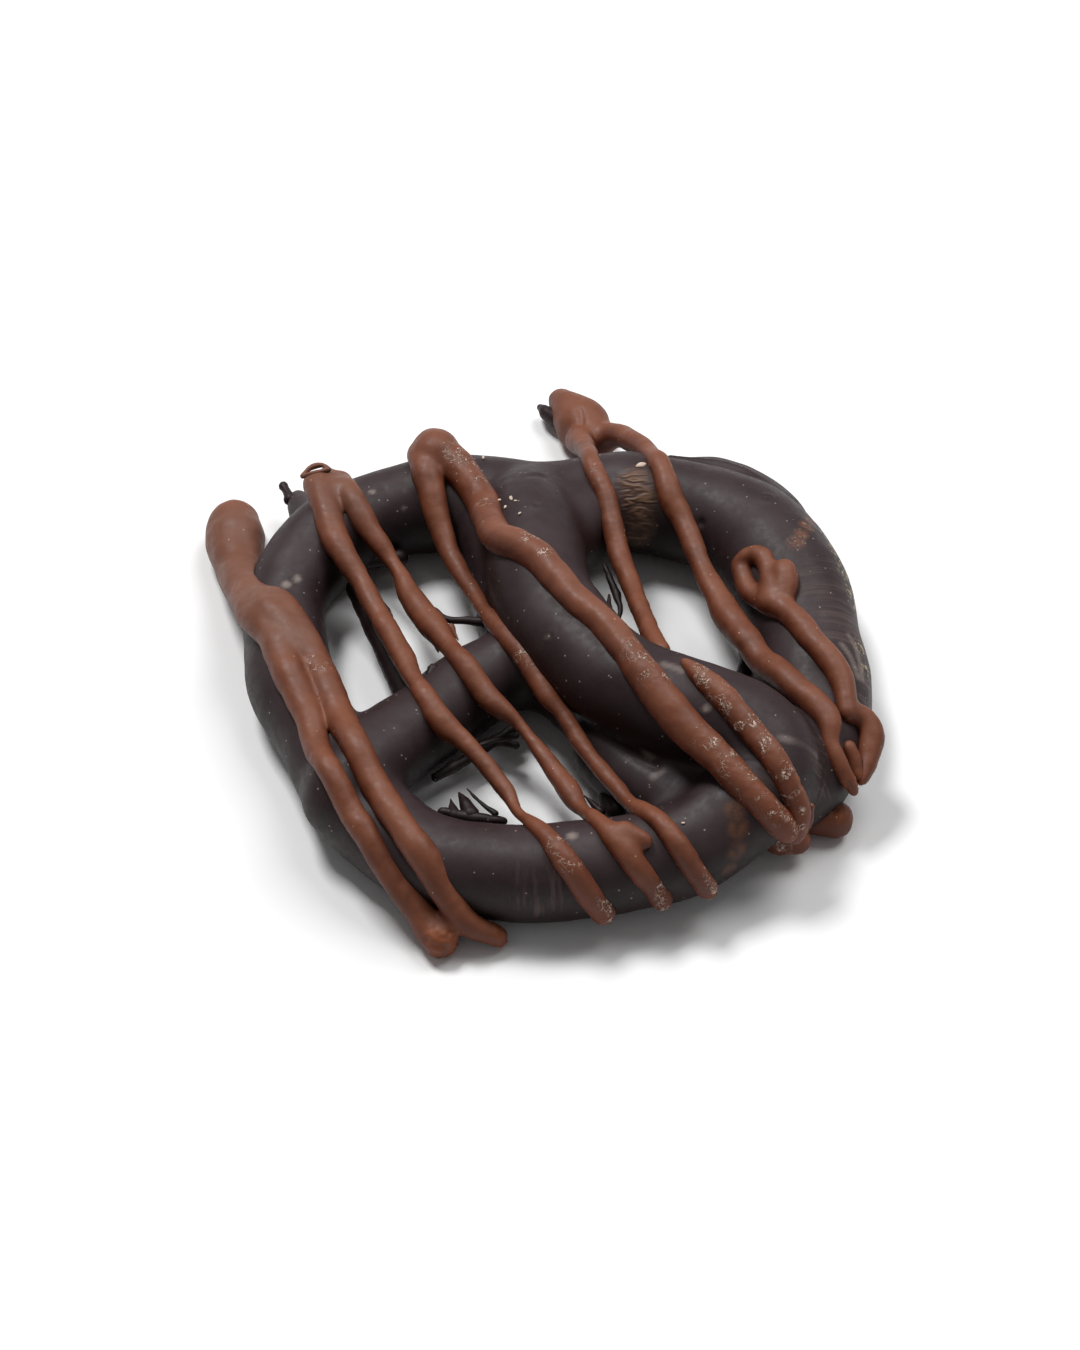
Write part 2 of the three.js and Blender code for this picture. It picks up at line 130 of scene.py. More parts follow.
# The drizzle by pour, as (x, y, radius). A fourth number holds the strand's middle at that
# height; without it the strand lies on the rope or hangs across a gap.
DRIZZLE = {
    "drizzle_first": {
        "puddle": [
            (-42, 31, 3.6, 2.8), (-41.5, 27.5, 4.2, 3), (-40.5, 21, 3.1, 4),
            (-38.5, 13.5, 2.6, 7), (-35.5, 7.5, 2.6, 10.3), (-32, 1.5, 2.4), (-30.5, -1.5, 1.9),
        ],
        "outer": [
            (-38.5, 12, 2, 7.6), (-37, 7, 2.2, 10), (-33.5, 1, 2.2), (-31.5, -5, 2.2),
            (-29, -11, 1.8), (-26, -20.5, 1.6), (-20, -30.5, 1.6, 8.8), (-14, -37, 1.8, 3.4),
            (-12, -39, 2.4, 2),
        ],
        "inner": [
            (-36.5, 13, 1.9, 7.4), (-34, 8, 2.2, 10.3), (-31, 2.5, 2.2), (-27.5, -4.5, 2),
            (-24.5, -12.5, 1.9), (-22, -19, 1.8), (-16.5, -29.5, 1.8), (-13.5, -33.5, 1.8, 10),
            (-9, -38, 1.6, 3.8), (-5, -38.5, 1.3, 1.6),
        ],
    },
    "drizzle_second": {
        "left": [
            (-30, 30.5, 2, 11), (-29, 27, 2, 12), (-27, 20, 1.9, 10.8), (-23.5, 13.5, 1.4, 9.3),
            (-20.5, 7, 1.4, 9), (-17.5, 0, 1.5, 9.7), (-15.5, -6, 1.2, 11), (-12.5, -11.5, 1.6),
            (-8, -16, 1.1, 9), (-4, -21.5, 1.1, 8), (-2.5, -25.5, 0.7, 8.2), (0, -30, 1.1),
            (3, -34.5, 1.5), (5.5, -36.5, 1.6, 7.5), (7.5, -37, 1.5, 4.2),
        ],
        "right": [
            (-27, 32, 1.4, 10.4), (-26, 28.5, 1.6, 11.7), (-23.5, 23.5, 1.7),
            (-21.5, 20.5, 1.5, 9.6), (-19, 17, 0.9, 8.5), (-17, 12, 1.6, 8.3),
            (-14, 6.5, 1.9, 8.6), (-11.5, 1, 1.2, 10), (-9, -4, 1.6), (-5.5, -8.5, 1.4, 10),
            (-2.5, -11, 0.8, 8.6), (0, -14.5, 1, 7.7), (3.5, -21, 1.5, 7.7),
            (5.5, -25.5, 0.8, 8.2), (8.5, -31, 1.5), (11.5, -34.5, 1.5, 9.8), (14.5, -35.5, 1.4, 5),
        ],
        "web": [(-29, 33, 1.5, 10), (-28, 30.5, 1.6, 11), (-27, 28, 1.4, 12)],
        "spur": [(10, -31, 1.5), (12.5, -32, 1)],
    },
    "drizzle_third": {
        "tongue": [
            (-15, 42, 2.8, 2.2), (-15, 40, 3.2, 5.2), (-14.5, 37.5, 3.3, 9.5), (-14, 34.5, 3.3),
        ],
        "left": [
            (-16, 35.5, 2.2), (-15, 30, 2), (-13, 23, 1.6, 8.6), (-11, 17.5, 1.3, 8),
            (-8, 10.5, 1.1, 8.8), (-7, 7.5, 1, 9.8), (-4.5, 2, 1.5, 11.7), (-1.5, -3, 1.6, 12),
            (1, -8, 1.5, 11), (2.5, -10, 1.1, 10.3), (6, -16, 1.1, 8.8), (9, -20.5, 1.1, 8.4),
            (11, -24.5, 1, 9.3), (14, -29, 1.3), (18, -34, 1.4, 9.2), (20, -34.5, 1.3, 5.6),
        ],
        "right": [
            (-13, 34.5, 2.4), (-9.5, 29.5, 2.2), (-7.5, 25, 2.2), (-6.5, 19, 2.1), (-5, 14, 2.1),
            (-2.5, 11, 2.1), (0, 8, 2.1), (4.5, 0.5, 1.9), (8.5, -4.5, 1.9), (12, -11, 2),
            (15.5, -16, 2.3, 17.4), (21.5, -22.5, 2, 15.3), (27, -27.5, 1.8, 12.5),
            (29.5, -28.5, 1.7, 9.4),
        ],
    },
    "drizzle_fourth": {
        "puddle": [(3, 57.5, 1.9, 2.4), (4.5, 54.5, 3, 2.8), (6, 51.5, 3.9, 3), (7.5, 48, 3.3, 3.4)],
        "left": [
            (5.5, 46.5, 2, 4.6), (6, 43, 1.5, 7), (6.5, 38, 1.3, 9.8), (7, 33, 1.3),
            (9, 26.5, 1.4), (10, 21, 1.5, 9), (12, 12, 1.3, 9.6), (14, 1, 1.3, 12.4),
            (15, -4, 1.3, 14.6),
        ],
        "left_end": [
            (17.5, -9.5, 0.6), (19.5, -12.5, 1.4), (21, -14, 1.6), (25, -19, 1.6),
            (29.5, -25, 1.5, 14), (31, -27, 1.5, 10.8), (30.5, -28, 1.6, 8.4),
        ],
        "right": [
            (8.5, 47.5, 2.5, 3.8), (10.5, 46, 1.7, 6), (14, 39, 1.4, 10.2), (15.5, 34, 1.4, 11.8),
            (17.5, 26.5, 1.7), (19, 23.5, 1.6, 10.8), (21.5, 15.5, 1.4, 9.3), (24.5, 7, 2, 9.2),
            (27.5, 0, 1.8, 10.6), (31, -6.5, 1.8), (35.5, -13.5, 1.7), (35.5, -16.5, 1, 11.4),
            (37, -19, 1.1, 9.6), (38.5, -20.5, 0.7, 7),
        ],
    },
    "drizzle_curl": {
        "outer": [(29.5, 7, 1.5), (27.5, 9.5, 1.4), (26, 14.5, 1.3)],
        "top": [(26, 14.5, 1.3), (27.5, 15, 1.3), (29, 13.5, 1.3)],
        "inner": [(29, 13.5, 1.3), (29.5, 11, 1.3), (30, 6.5, 1.8)],
        "bump": [(31, 6, 1.4), (31.5, 8.5, 1.7), (31.5, 10.5, 1.8)],
        "tail": [
            (29.5, 7, 1.9), (31.5, 4.5, 1.7), (34.5, -1.5, 1.6), (37.5, -7, 1.6), (38, -11.5, 1.3),
        ],
        "ring": [
            (38, -11.5, 1.3, 11.6), (39.5, -11, 1.5, 10.4), (41, -12.5, 1.6, 9.4),
            (40.5, -16, 1.5, 8), (39.5, -19, 0.8, 7.4),
        ],
    },
    "drizzle_stubs": {
        "right_stub": [(33.5, -20.5, 2.2, 2.3), (36.5, -21, 2.3, 2.3)],
        "near_stub": [(29, -25, 1.8, 3.2), (31.5, -25, 1.7, 3)],
    },
}

# Dark threads, webs and whiskers that hang in the openings and stick out of the outline, as
# (x, y, height, radius).
THREADS = {
    "left_thread": [(-24.5, 16.5, 5.2, 1.3), (-20, 6, 4.6, 1.7), (-16, -4, 4.8, 2.2)],
    "wavy_thread": [
        (-14, 9.5, 8.6, 0.3), (-12, 7.5, 8.6, 0.5), (-9.5, 7, 8.8, 0.5), (-6.5, 6.5, 9, 0.8),
    ],
    "bead": [(-13.5, -2.5, 9.6, 0.8), (-14, -3.5, 9.6, 0.5)],
    "far_web": [(-24.5, 22, 4.5, 1.2), (-22, 22.5, 4.5, 0.9), (-19, 23, 4.5, 1.2)],
    "near_web": [(-8.5, -11, 4, 0.8), (-6, -9.5, 4, 0.6), (-3.5, -7.5, 4, 0.6)],
    "left_spike": [(-10.5, -22.5, 5, 0.9), (-11, -20, 5, 0.1)],
    "broad_spike": [(-8.5, -22.5, 5, 1.1), (-9.5, -20, 5, 0.6), (-10, -19, 5, 0.2)],
    "whisker": [(-5.5, -22.5, 5.2, 0.4), (-7.5, -20.5, 5.2, 0.2), (-9, -18.5, 5.2, 0.1)],
    "sliver": [(7.5, -22, 5, 0.6), (6.5, -21, 5.3, 0.4), (5.5, -20, 5.6, 0.1)],
    "near_gusset": [(9, -16.5, 3.5, 0.9), (8.5, -18.5, 3.5, 1.3), (9, -20.5, 3.5, 1.4)],
    "right_web": [
        (8.5, 18, 8, 0.3), (9.5, 14.5, 8, 0.5), (10, 12.5, 8, 0.6), (10.5, 9.5, 8, 0.3),
        (10, 7.5, 8, 0.2),
    ],
    "right_spike": [(9, 8, 9, 0.6), (9, 11.5, 9, 0.1)],
    "right_gusset": [(26.5, 6, 4, 0.7), (27, 4, 4, 1.2), (25, -1, 4, 0.8)],
    "far_spike": [(2.5, 53.5, 2.4, 1.3), (1, 55, 2.2, 1.2), (0, 56.5, 2, 0.5)],
    "corner_nub": [(-35.5, 37, 4.6, 0.7), (-35, 36, 4.6, 0.5), (-34.5, 34.5, 4.5, 0.9)],
    "high_loop": [(-7.5, -12, 6, 0.3), (-5, -11, 6, 0.3), (-3, -10.5, 6, 0.4)],
    "flap": [(-20.5, 10, 9, 0.3), (-19.5, 8, 9, 0.4), (-19, 6.5, 9, 0.1)],
    "low_web": [(-7.5, -11, 3.6, 0.5), (-5, -9.5, 3.6, 0.4), (-3, -10, 3.6, 0.5)],
    "left_lump": [(-13, -15, 3.4, 0.6), (-11, -13.5, 3.4, 0.8), (-8.5, -11.5, 3.4, 0.6)],
    "skirt": [(-12, -22, 5, 0.6), (-8.5, -23, 5, 0.9), (-4.5, -23.5, 5, 0.5)],
}

# Small sharp forms of the drizzle, kept as they are swept: the lips of a hollow end, torn
# tips, a web in a loop and the rim of a joined end, as (x, y, height, radius).
DRIZZLE_TRIMS = {
    "lower_lip": [(-32, 31, 12, 0.35), (-30.5, 30.5, 13, 0.35), (-28.5, 31.5, 12.8, 0.35)],
    "upper_lip": [
        (-32, 31, 12, 0.35), (-31, 32.5, 12.2, 0.35), (-29.5, 33, 12.2, 0.35),
        (-28.5, 31.5, 12.8, 0.35),
    ],
    "ragged_near": [(-13.5, 4, 8.9, 0.7), (-13, 1.5, 8.6, 0.1)],
    "ragged_far": [(-11.5, 5.5, 9.2, 0.5), (-10.5, 3.5, 8.8, 0.1)],
    "ring_web": [(38, -16, 10, 0.9), (38.5, -17, 9, 1.1), (39, -18.5, 8, 0.8)],
    "join_edge": [
        (28.5, -28, 7.6, 0.3), (30.5, -28.5, 7.2, 0.3), (32, -27.5, 8, 0.3),
        (32.5, -27, 9.4, 0.3), (32.5, -26.5, 11.4, 0.3),
    ],
}

# Marks in the coat, as (x, y, height, size, depth). A pit or bump is as wide as its size; a
# ring is a low wall at that distance round a burst bubble. Depths are out of the surface.
COAT_BUMPS = [
    (21.5, 23.2, 10.8, 0.5, -0.6), (-33.5, 11, 10.6, 0.5, -0.2), (42.4, 7.2, 6.2, 1.0, -0.7),
    (-21, 29, 11.7, 0.5, -0.2), (31.5, -8, 11.5, 1.6, 0.3), (16, -24, 10.5, 2.2, -0.35),
    (25.5, -25, 12.5, 1.8, 0.25), (-32.3, 12.2, 10.6, 0.5, -0.35), (12.5, 29, 12.6, 2.4, 0.2),
]
COAT_RINGS = [
    (-0.3, 20, 17.1, 0.75, 0.2), (29.9, 24.1, 13.9, 0.9, 0.16), (20, -16.2, 17.5, 0.6, 0.1),
    (1.2, -4, 17.4, 0.6, 0.1),
]

# Creases and ridges in the coat, as (width, depth, points).
COAT_CREASES = [
    (0.55, -0.26, [(-4.9, 28, 13.2), (-3.4, 27.2, 14), (-1.6, 27.1, 14.6), (0.3, 28, 14.4)]),
    (0.5, 0.14, [(-4.4, 29, 12.9), (-2.4, 28.2, 13.9), (0, 29, 13.9)]),
    (0.7, -0.55, [(5, -11.2, 9.5), (8.4, -13.9, 9.6), (11, -16.2, 9.3), (14.2, -18.6, 9.3)]),
    (0.6, -0.4, [
        (17.6, 35.3, 11.6), (21.9, 34.8, 11.6), (26.5, 33.2, 11), (30.4, 30.2, 10.6),
        (33.6, 27, 10.6), (36, 23.8, 11),
    ]),
    (0.45, 0.3, [
        (17.9, 36.1, 11.2), (22.4, 35.7, 11), (27, 34.1, 10.4), (31, 31.1, 10), (34.3, 27.7, 10.2),
    ]),
]

# Fine pale scratches and one painted highlight line along an edge, as lines of (x, y, height), and
# pale dried spots with a radius.
COAT_SCRATCHES_AND_HIGHLIGHT = [
    [(27, -20.5, 18), (28.8, -20.3, 17), (30, -20.1, 15.9), (31.4, -20, 14.8), (33.3, -19.9, 12.8)],
    [(12.4, -15.8, 10.5), (13.6, -17.2, 10), (14.8, -17.2, 10), (16.5, -16, 10.2)],
    [(13.8, -20, 9.2), (15.8, -19.4, 9.3), (17.6, -19.6, 9.3), (19.2, -20, 9.4)],
    # A painted highlight along a lit edge, not a scratch.
    [(15.1, -10.1, 18.8), (16.2, -10.6, 18.8), (17.3, -11.2, 18.7)],
    [(-1.3, -1.2, 14.6), (-1.4, 1.2, 14.4), (-0.5, 4.1, 15.2), (0.2, 6.2, 16)],
    [(39.4, 1.6, 12), (40.1, 0, 11.2), (40.4, -2, 10.8), (40.4, -4.6, 10.2)],
    [(38.2, -0.8, 12.6), (39.2, -2.6, 11.8), (39.9, -4.8, 10.8)],
]

# Where colours differ on the coat, as (x, y, height, radius).
COAT_PAINT = {
    "ribbed": [
        (0, -36.5, 8, 5), (39, 3, 10, 7), (39, -7, 9, 6), (34.5, -19, 10, 6), (28, -24, 12, 5),
        (36, 10, 12, 6),
    ],
    "worn": [
        (12.6, 29.4, 12.3, 2), (13.2, 27.2, 11.2, 2.2), (13.4, 25.6, 8.6, 2), (13.2, 25.2, 6.6, 1.6),
    ],
    "smear": [
        (23.2, -28, 12.8, 1.2), (23.6, -30, 11.4, 1.2), (23.4, -31.6, 9.2, 1.2), (22.8, -32.8, 6.8, 1),
    ],
    "cream": [
        (37.9, 20.4, 11, 1.3), (39.2, 17.3, 10.6, 1.9), (40.4, 14, 10.2, 1.9), (40.9, 11, 9.8, 1.7),
        (41, 8.4, 9.4, 1.2), (41, 0.8, 10.4, 1.2), (41.4, -2.6, 9.6, 1.2),
    ],
    "rust": [(35.8, 21.4, 12.9, 1), (34.9, 19.4, 13.6, 1), (34, 17.4, 14, 1), (33.2, 15.6, 14.2, 1.1)],
    "spotted": [
        (20.1, -16.2, 17.5, 0.55), (10, -14.4, 10.5, 0.5), (1.2, -3.6, 16.6, 0.6),
        (-22.5, 28.1, 11.8, 0.4), (-18.3, 28.6, 11.8, 0.35), (-18.2, 26.5, 10.4, 0.4),
        (-32.9, 11.6, 10.8, 0.6), (-31.6, 12.8, 10.7, 0.5), (3.8, -31, 11.2, 0.6),
    ],
}

# Hollows in the drizzle, as (width, depth, points).
DRIZZLE_CREASES = [
    (0.6, -0.8, [(-31.5, 31.5, 12.4), (-30.5, 31.5, 12.7), (-29.5, 32, 12.7)]),
    (0.4, -0.3, [(-43, 24, 8.6), (-41, 23.2, 8.4), (-38.6, 22.6, 8)]),
    (0.4, -0.25, [(5.7, 50.6, 6.6), (5.9, 48.8, 6.6), (5.8, 47.2, 6.2)]),
]

# White crust on the drizzle, its dusty upper ends and reddish open ends, as (x, y, radius).
MILK_PAINT = {
    "dusty": [(-41, 26, 5), (-39.5, 18, 5), (-36, 8, 5), (-32, 1, 4), (-28.5, 30, 4), (-26, 25, 3)],
    "bloom": [
        (-11.6, 32.8, 1.3), (-10.2, 30.5, 1.6), (-8.4, 27.3, 1.5), (-7.2, 22.5, 1.2),
        (-1.2, 10.6, 1.2), (0.4, 7.6, 1.1), (-1.6, -3.4, 1.4), (-2.6, -1.2, 1.1),
        (12.2, -9.8, 1.8), (14, -13, 1.8), (20.2, -21, 1.5), (23, -24, 1.6), (25.4, -26.6, 1.6),
        (19.4, -12, 1.3), (20.6, -14.2, 1.6), (22.6, -16.5, 1.6), (25, -19.4, 1.8),
        (27.3, -22.6, 1.8), (29.6, -25.3, 1.6), (-27.7, -4.4, 1.4), (7.9, 30.4, 1), (8.4, 28.2, 1.1),
        (2.2, -33.3, 1.2), (3.6, -35, 1.2), (8.2, -37.4, 1.3), (14.9, -35.9, 1.2), (20.4, -34.6, 1),
        (30.6, -28.6, 1.1), (28, -28.6, 1.1),
    ],
    "raw": [
        (-31.2, 34.4, 1), (-29.8, 34.9, 1), (-12.4, -40.4, 1.2), (-10.4, -40.2, 1.1),
        (-4.6, -38.8, 0.9), (36.8, -21.4, 1.2), (31.8, -24.8, 1.2), (39, -19.4, 0.8),
    ],
}

# Crumbs of cocoa butter that stick to the coat, as (x, y, height, length, turn in degrees).
CRUMBS = [
    (-5.3, 23.4, 14.8, 0.34, 20), (-4.6, 20.8, 15.9, 0.3, 70), (-3.8, 22.3, 16.1, 0.42, 110),
    (-3.2, 21.4, 16.5, 0.22, 10), (-2.6, 18.3, 17.2, 0.3, 45), (-7.7, 34.6, 12.2, 0.34, 80),
    (13.6, 31.8, 13.3, 0.8, 25), (9.7, -10.3, 17.2, 0.22, 40), (-14.2, -33.4, 10.6, 0.2, 60),
    (17, -29.6, 12, 0.2, 15),
]

# ---- Paths ----------------------------------------------------------------------------


@dataclass
class Station:
    """A place along a rope or strand: its middle, its radius, and how far along it is."""

    centre: Vector
    radius: float
    run: float
    height: float | None = None


def mix(a, b, share):
    return a + (b - a) * share


def clamp(value, low=0.0, high=1.0):
    return max(low, min(high, value))


def smooth_step(low, high, value):
    share = clamp((value - low) / (high - low))
    return share * share * (3 - 2 * share)


def eased(values, reach):
    """Each value replaced by the mean of those within reach of it."""
    smooth = []
    for i in range(len(values)):
        side = min(reach, i, len(values) - 1 - i)
        window = values[i - side:i + side + 1]
        smooth.append(sum(window) / len(window))
    return smooth


def stations(rows, gap):
    """Even stations on a centripetal curve through rows of (x, y, z, radius, held height)."""
    corners = [Vector(row[:3]) for row in rows]
    corners = [corners[0] * 2 - corners[1], *corners, corners[-1] * 2 - corners[-2]]
    dense = []
    for i in range(len(rows) - 1):
        p0, p1, p2, p3 = corners[i:i + 4]
        g0, g1, g2 = ((b - a).length ** 0.5 for a, b in ((p0, p1), (p1, p2), (p2, p3)))
        leaving = ((p1 - p0) / g0 - (p2 - p0) / (g0 + g1) + (p2 - p1) / g1) * g1
        arriving = ((p2 - p1) / g1 - (p3 - p1) / (g1 + g2) + (p3 - p2) / g2) * g1
        points = interpolate_bezier(p1, p1 + leaving / 3, p2 - arriving / 3, p2, CURVE_STEPS + 1)
        dense += [(i + k / CURVE_STEPS, point) for k, point in enumerate(points[:-1])]
    dense.append((len(rows) - 1, corners[-2]))

    runs = [0.0]
    for (_, a), (_, b) in zip(dense, dense[1:]):
        runs.append(runs[-1] + (b - a).length)
    count = max(2, round(runs[-1] / gap))
    made = []
    k = 0
    for i in range(count + 1):
        run = runs[-1] * i / count
        while k < len(runs) - 2 and runs[k + 1] < run:
            k += 1
        share = clamp((run - runs[k]) / (runs[k + 1] - runs[k]))
        place = mix(dense[k][0], dense[k + 1][0], share)
        row = min(int(place), len(rows) - 2)
        here = rows[row]
        ahead = rows[row + 1]
        held = None
        if here[4] is not None and ahead[4] is not None:
            held = mix(here[4], ahead[4], place - row)
        radius = mix(here[3], ahead[3], place - row)
        centre = dense[k][1].lerp(dense[k + 1][1], share)
        made.append(Station(centre, radius, run, held))
    radii = eased([station.radius for station in made], round(RADIUS_EASE / gap))
    for station, radius in zip(made, radii):
        station.radius = radius
    return made


def rope_stations(rows):
    return stations([(*row, None) for row in rows], ROPE_GAP)


# The runs count on from rope to rope, so that ribs don't break where two ropes meet.
rope_runs = {}
run_so_far = 0.0
for name, rows in ROPE.items():
    rope_runs[name] = rope_stations(rows)
    for station in rope_runs[name]:
        station.run += run_so_far
    run_so_far = rope_runs[name][-1].run
pool_runs = {name: rope_stations(rows) for name, rows in COAT_POOLS.items()}
rope_all = [station for run in (*rope_runs.values(), *pool_runs.values()) for station in run]
widest = max(station.radius for station in rope_all)

rope_plan = kdtree.KDTree(len(rope_all))
for i, station in enumerate(rope_all):
    rope_plan.insert((station.centre.x, station.centre.y, 0.0), i)
rope_plan.balance()


def riding_height(x, y, radius):
    """Height of a strand's middle where it rides over the rope, or None off the rope."""
    height = None
    for _, i, away in rope_plan.find_range((x, y, 0.0), widest + LIFT * radius):
        station = rope_all[i]
        reach = station.radius + LIFT * radius
        if away < reach:
            top = station.centre.z + math.sqrt(reach * reach - away * away)
            height = top if height is None else max(height, top)
    return height


def span_gaps(heights, step):
    """Across a gap a strand leaves each rope at its shoulder and sags in between."""
    spanned = list(heights)
    carried = [i for i, height in enumerate(heights) if height is not None]
    if not carried:
        return spanned
    first = carried[0]
    last = carried[-1]
    i = first
    while i <= last:
        if heights[i] is not None:
            i += 1
            continue
        start = i - 1
        while start > first and (heights[start - 1] - heights[start]) / step > LETTING_GO_SLOPE:
            start -= 1
        while heights[i] is None:
            i += 1
        end = i
        while end < last and (heights[end + 1] - heights[end]) / step > LETTING_GO_SLOPE:
            end += 1
        for k in range(start + 1, end):
            share = (k - start) / (end - start)
            sag = 4 * share * (1 - share) * SAG_SHARE * (end - start) * step
            spanned[k] = mix(heights[start], heights[end], share) - sag
    return spanned


def laid_strand(rows):
    """A strand's stations, with the height at which it lies, hangs or is held."""
    full = [(row[0], row[1], 0.0, row[2], row[3] if len(row) > 3 else None) for row in rows]
    run = stations(full, STRAND_GAP)
    step = run[1].run - run[0].run
    riding = [riding_height(s.centre.x, s.centre.y, s.radius) for s in run]
    spanned = span_gaps(riding, step)
    heights = []
    for station, height in zip(run, spanned):
        if station.height is not None:
            height = station.height
        elif height is None:
            height = TABLE_REST * station.radius
        heights.append(height)
    for station, height in zip(run, eased(heights, round(EASE_LENGTH / step))):
        station.centre.z = height
    return run


# ---- Shapes ---------------------------------------------------------------------------


def sweep(bm, run, sides):
    """A round-ended rope along stations, each ring pulled out from the one before."""
    last = len(run) - 1
    frames = []
    for i, station in enumerate(run):
        ahead = run[min(i + 1, last)].centre - run[max(i - 1, 0)].centre
        turn = ahead.to_track_quat("Z", "Y")
        size = Vector((station.radius, station.radius, 1.0))
        frames.append((station.centre, turn, size))

    def end_rings(place, outward):
        centre, turn, size = place
        direction = turn @ Vector((0, 0, outward))
        rings = []
        for angle in CAP_ANGLES:
            tilt = math.radians(angle)
            shrunk = size * math.cos(tilt)
            shrunk.z = 1.0
            rings.append((centre + direction * size.x * math.sin(tilt), turn, shrunk))
        return rings

    frames = [*reversed(end_rings(frames[0], -1)), *frames, *end_rings(frames[-1], 1)]
    matrices = [Matrix.LocRotScale(*place) for place in frames]
    tube = bmesh.new()
    first = bmesh.ops.create_circle(
        tube, cap_ends=True, segments=sides, radius=1.0, matrix=matrices[0]
    )
    edges = list({edge for vert in first["verts"] for edge in vert.link_edges})
    for before, after in zip(matrices, matrices[1:]):
        pulled = bmesh.ops.extrude_edge_only(tube, edges=edges)["geom"]
        verts = [item for item in pulled if isinstance(item, bmesh.types.BMVert)]
        edges = [item for item in pulled if isinstance(item, bmesh.types.BMEdge)]
        bmesh.ops.transform(tube, matrix=after @ before.inverted(), verts=verts)
    bmesh.ops.contextual_create(tube, geom=edges)
    mesh = bpy.data.meshes.new("tube")
    tube.to_mesh(mesh)
    tube.free()
    bm.from_mesh(mesh)
    bpy.data.meshes.remove(mesh)


def fused(bm, cell):
    """One closed skin round everything in bm, in cells of that size."""
    mesh = bpy.data.meshes.new("loose")
    bmesh.ops.recalc_face_normals(bm, faces=bm.faces)
    bm.to_mesh(mesh)
    bm.free()
    worker = bpy.data.objects.new("loose", mesh)
    bpy.context.scene.collection.objects.link(worker)
    remesh = worker.modifiers.new("fuse", "REMESH")
    remesh.mode = "VOXEL"
    remesh.voxel_size = cell
    depsgraph = bpy.context.evaluated_depsgraph_get()
    skin_mesh = bpy.data.meshes.new_from_object(worker.evaluated_get(depsgraph))
    bpy.data.objects.remove(worker)
    skin = bmesh.new()
    skin.from_mesh(skin_mesh)
    bpy.data.meshes.remove(skin_mesh)
    bpy.data.meshes.remove(mesh)
    return skin


def soften(bm, times, regain):
    """Runs the creases soft, then swells the skin by what its rounds have lost."""
    for _ in range(times):
        bmesh.ops.smooth_vert(
            bm, verts=bm.verts, factor=0.5, use_axis_x=True, use_axis_y=True, use_axis_z=True
        )
    bm.normal_update()
    for vert in bm.verts:
        vert.co += vert.normal * regain


def hump(away, size):
    """1 in the middle of a mark, and next to nothing two sizes away from it."""
    return math.exp(-(away / size) ** 2)


def station_tree(run):
    tree = kdtree.KDTree(len(run))
    for i, station in enumerate(run):
        tree.insert(station.centre, i)
    tree.balance()
    return tree


def along_rope(run, tree, point):
    """How far along a rope or strand a point of its skin is, in millimetres."""
    _, i, _ = tree.find(point)
    here = run[i]
    behind = run[max(i - 1, 0)]
    ahead = run[min(i + 1, len(run) - 1)]
    heading = (ahead.centre - behind.centre).normalized()
    return here.run + (point - here.centre).dot(heading)


def displaced(bm, relief):
    """Moves each vertex along its normal by what relief(vertex) gives."""
    bm.normal_update()
    moves = [(vert, vert.normal * relief(vert)) for vert in bm.verts]
    for vert, move in moves:
        vert.co += move


def painted(bm, name, value):
    """Stores value(vertex) as a point attribute for a material to read."""
    layer = bm.verts.layers.float.new(name)
    for vert in bm.verts:
        vert[layer] = value(vert)


def near_marks(marks, point, dimensions):
    """The strongest of the round marks at a point, from 0 to 1."""
    strongest = 0.0
    for mark in marks:
        away = math.dist(mark[:dimensions], point[:dimensions])
        strongest = max(strongest, smooth_step(1.5, 0.5, away / mark[dimensions]))
    return strongest


def finished(bm, name, material):
    """The bmesh as a piece of the object, in the frame, smooth and with its finish."""
    for vert in bm.verts:
        vert.co.z = max(vert.co.z, 0.0)
    bmesh.ops.transform(bm, matrix=PLAN_TO_FRAME, verts=bm.verts)
    for face in bm.faces:
        face.smooth = True
    mesh = bpy.data.meshes.new(name)
    bm.to_mesh(mesh)
    bm.free()
    mesh.materials.append(material)
    piece = bpy.data.objects.new(name, mesh)
    bpy.context.scene.collection.objects.link(piece)
    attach(piece, "root")
    return piece


# ---- Materials ------------------------------------------------------------------------


def linear(hex_colour):
    """An sRGB hex colour as linear red, green, blue and alpha."""
    channels = [int(hex_colour[i:i + 2], 16) / 255 for i in (1, 3, 5)]
    bent = [c / 12.92 if c <= 0.04045 else ((c + 0.055) / 1.055) ** 2.4 for c in channels]
    return (*bent, 1.0)


def add_node(tree, kind, settings=None, output=0, **links):
    """Adds a node with its settings. links holds a value, a hex colour or an output by input."""
    node = tree.nodes.new("ShaderNode" + kind)
    for key, value in (settings or {}).items():
        setattr(node, key, value)
    for key, value in links.items():
        place = int(key[1:]) if key[1:].isdigit() else key.replace("_", " ")
        socket = node.inputs[place]
        if isinstance(value, bpy.types.NodeSocket):
            tree.links.new(value, socket)
        else:
            socket.default_value = linear(value) if isinstance(value, str) else value
    return node if output is None else node.outputs[output]


# Settings that the materials share.
TIMES = {"operation": "MULTIPLY"}
PLUS = {"operation": "ADD"}
LARGER = {"operation": "MAXIMUM"}
SOFT = {"interpolation_type": "SMOOTHSTEP"}
COLOURS = {"data_type": "RGBA"}


def new_material(name):
    material = bpy.data.materials.new(name)
    material.use_nodes = True
    material.node_tree.nodes.clear()
    return material, partial(add_node, material.node_tree)


def millimetres(node):
    """The piece's own coordinates, scaled so that a texture's scale is per millimetre."""
    place = node("TexCoord", output="Object")
    return node("VectorMath", {"operation": "SCALE"}, i0=place, Scale=1 / METRES)


